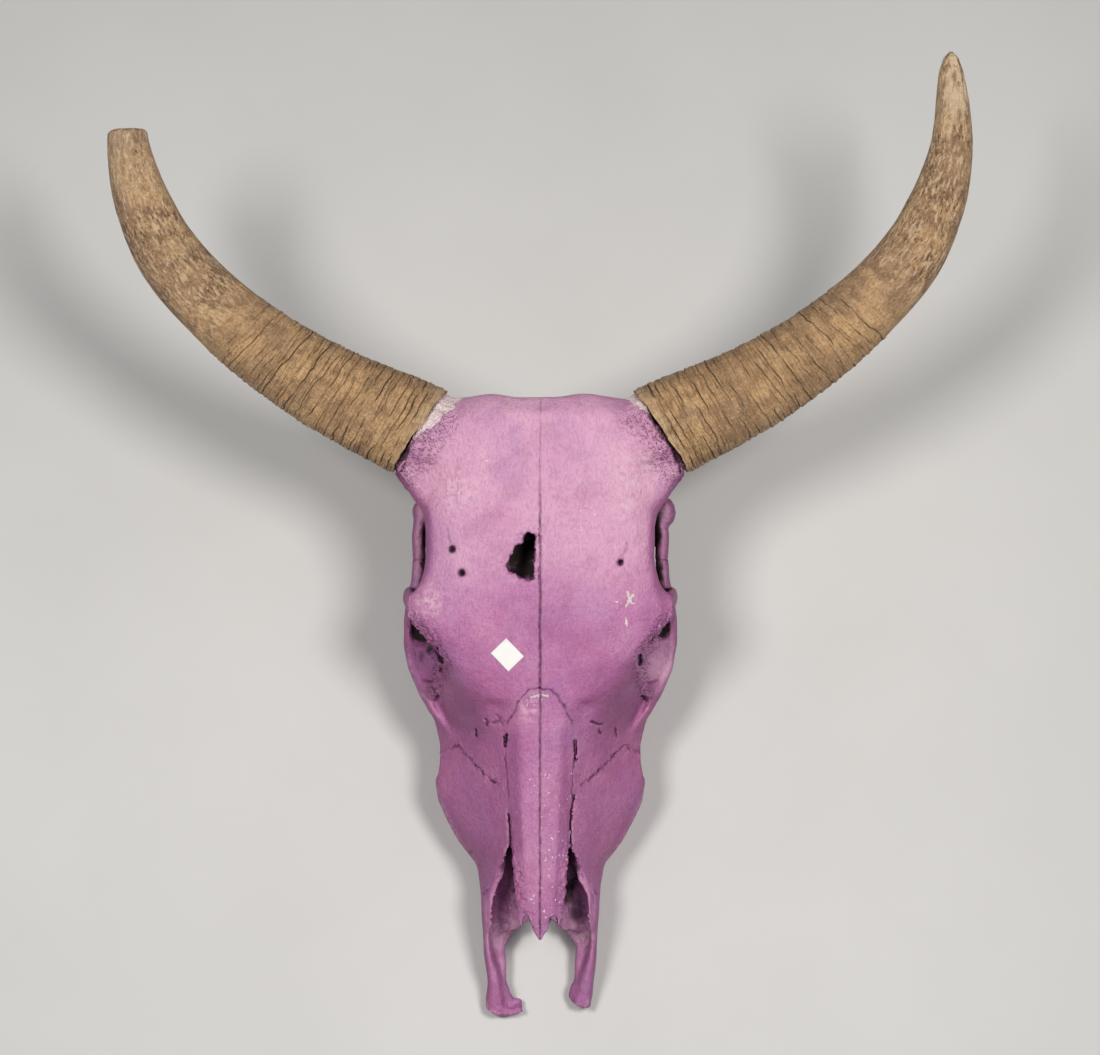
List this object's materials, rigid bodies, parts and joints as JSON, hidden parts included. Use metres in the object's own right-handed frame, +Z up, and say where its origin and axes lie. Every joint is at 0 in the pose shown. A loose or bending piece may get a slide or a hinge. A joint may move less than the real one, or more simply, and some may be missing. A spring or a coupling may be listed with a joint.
{
  "type": "painted cattle skull with horns",
  "caption": "Cattle skull without its lower jaw, painted purple, with brown ringed horn sheaths, one with a broken tip, lying on its cheek teeth; a decoration or museum piece.",
  "frame": {"origin": "on the floor, under the middle of the whole skull with its horns", "axes": "+Z up, -Y towards the snout, +X towards the animal's left"},
  "size_m": [0.6668, 0.701, 0.3036],
  "materials": {
    "painted_bone": "matte purple paint on dry bone, chipped to cream bone at the horn joints",
    "horn": "dull brown horn, ringed and cracked near the base, paler at the tip",
    "label_paper": "blank white paper label"
  },
  "bodies": {
    "root": {"braincase": "painted_bone", "frontal_left": "painted_bone", "frontal_right": "painted_bone", "nasal_left": "painted_bone", "nasal_right": "painted_bone", "cheekbone_left": "painted_bone", "cheekbone_right": "painted_bone", "maxilla_left": "painted_bone", "maxilla_right": "painted_bone", "premaxilla_left": "painted_bone", "premaxilla_right": "painted_bone", "horn_left": "horn", "horn_right": "horn", "price_label": "label_paper"}
  },
  "joints": []
}
